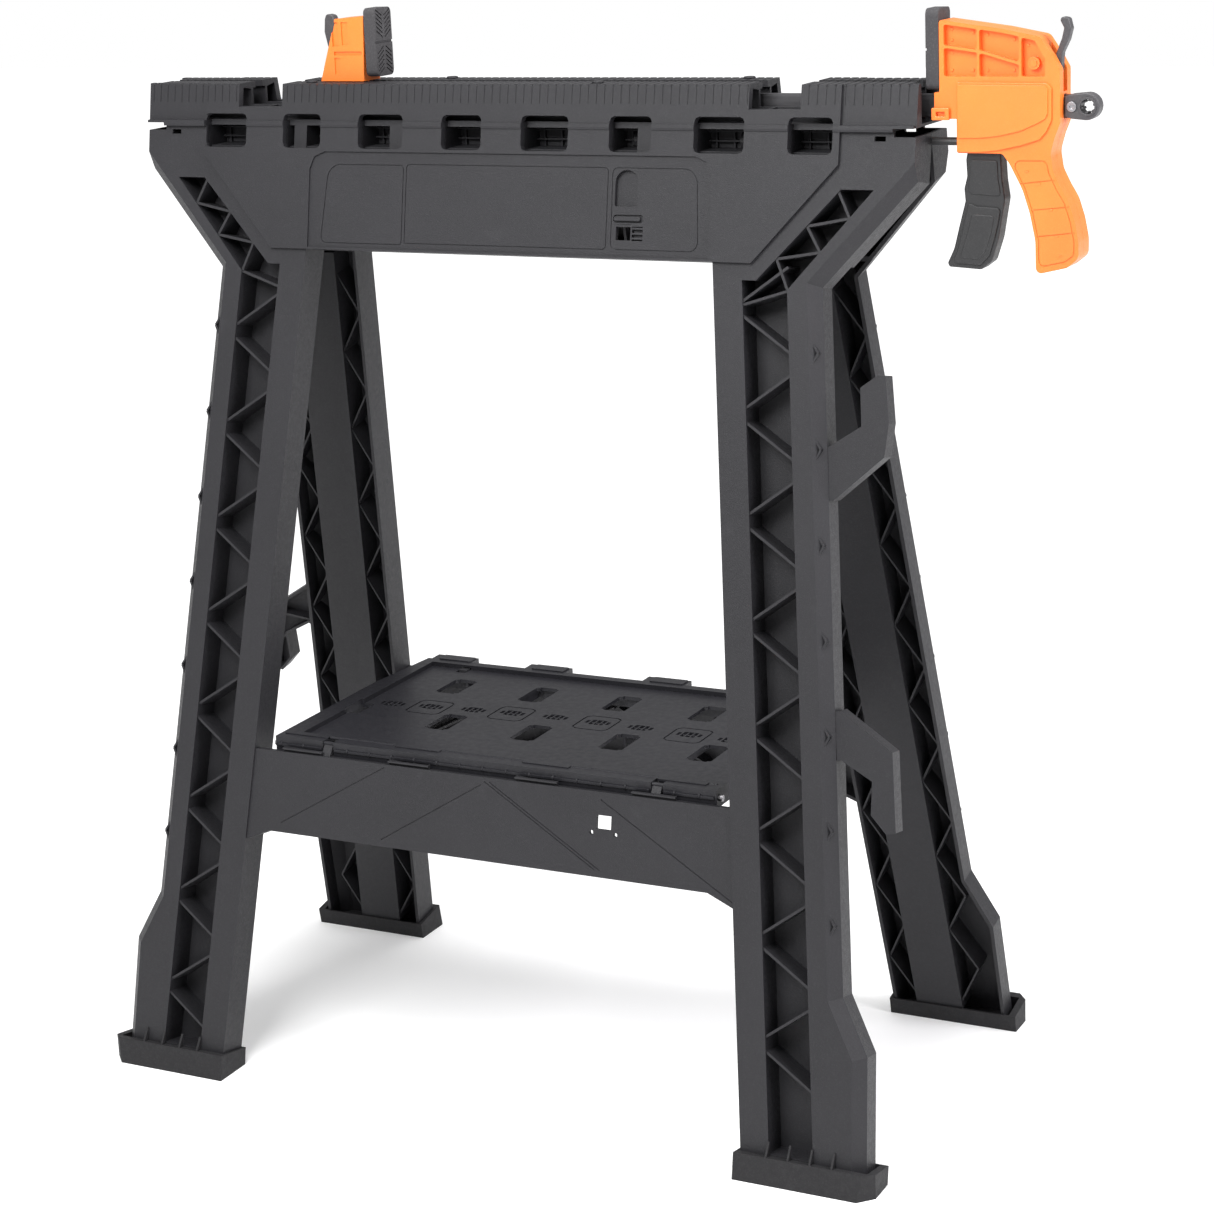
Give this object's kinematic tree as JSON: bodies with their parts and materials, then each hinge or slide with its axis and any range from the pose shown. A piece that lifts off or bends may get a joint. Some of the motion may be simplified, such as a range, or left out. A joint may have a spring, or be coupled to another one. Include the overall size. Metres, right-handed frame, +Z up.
{
  "type": "folding clamping sawhorse",
  "caption": "Folding plastic sawhorse: two ribbed A-frames hinged under a slotted beam, tool tray across the legs, and a trigger-fed bar clamp along the top.",
  "frame": {"origin": "on the floor, under the middle of the whole object", "axes": "+Z up, +X along the beam towards the clamp head, -Y towards the front frame"},
  "size_m": [0.8152, 0.3726, 0.8706],
  "materials": {
    "frame": "fine textured charcoal",
    "foot": "matte",
    "orange": "semi-gloss orange",
    "pad": "matte, grooved",
    "steel": "satin",
    "bar": "dark satin",
    "black": "black moulded",
    "grey": "dark grey moulded"
  },
  "bodies": {
    "front": {"front_frame": "frame", "foot_front_right": "foot", "foot_front_left": "foot", "hinge_pin_1": "steel", "hinge_pin_2": "steel", "hinge_pin_3": "steel", "hinge_pin_4": "steel", "tray_rod": "steel", "head_shell_front": "orange", "head_shell_rear": "orange", "head_cover": "orange", "loop_clip": "orange", "head_pad": "pad", "trigger_pin": "steel", "release_lever_pin": "steel", "drive_plate": "steel", "brake_plate": "steel", "drive_spring": "steel", "stop_rod": "black", "head_screw_1": "steel", "head_screw_2": "steel", "head_screw_3": "steel"},
    "rear": {"rear_frame": "frame", "foot_rear_left": "foot", "foot_rear_right": "foot"},
    "tray": {"tray": "frame"},
    "bar": {"clamp_bar": "bar", "bar_end_cap": "grey"},
    "tail_jaw": {"tail_shell_front": "orange", "tail_shell_rear": "orange", "tail_pad": "pad", "tail_lever_pin": "steel"},
    "tail_lever": {"tail_lever": "grey"},
    "trigger": {"trigger": "black"},
    "release_lever": {"release_lever": "grey"}
  },
  "joints": [
    {"name": "frame_fold", "type": "hinge", "parent": "front", "child": "rear", "pos_m": [-0.05865, 0, 0.768], "axis": [-1, 0, 0], "range_deg": [0, 21]},
    {"name": "tray_fold", "type": "hinge", "parent": "front", "child": "tray", "pos_m": [-0.05865, -0.1115, 0.2805], "axis": [1, 0, 0], "range_deg": [0, 77.45]},
    {"name": "bar_feed", "type": "slide", "parent": "front", "child": "bar", "axis": [1, 0, 0], "range_m": [0, 0.3]},
    {"name": "tail_jaw_slide", "type": "slide", "parent": "bar", "child": "tail_jaw", "axis": [1, 0, 0], "range_m": [0, 0.13]},
    {"name": "trigger_pull", "type": "hinge", "parent": "front", "child": "trigger", "pos_m": [0.32335, 0, 0.773], "axis": [0, -1, 0], "range_deg": [0, 18], "stiffness_Nm_per_rad": 0.4, "springref_deg": -14.32},
    {"name": "release_press", "type": "hinge", "parent": "front", "child": "release_lever", "pos_m": [0.37555, 0, 0.82], "axis": [0, -1, 0], "range_deg": [0, 10], "stiffness_Nm_per_rad": 0.2, "springref_deg": -11.46},
    {"name": "tail_lever_press", "type": "hinge", "parent": "tail_jaw", "child": "tail_lever", "pos_m": [-0.22785, 0, 0.827], "axis": [0, 1, 0], "range_deg": [0, 8], "stiffness_Nm_per_rad": 0.2, "springref_deg": -11.46}
  ],
  "couplings": [
    {"joint": "tray_fold", "follows": "frame_fold", "ratio": 3.686}
  ]
}
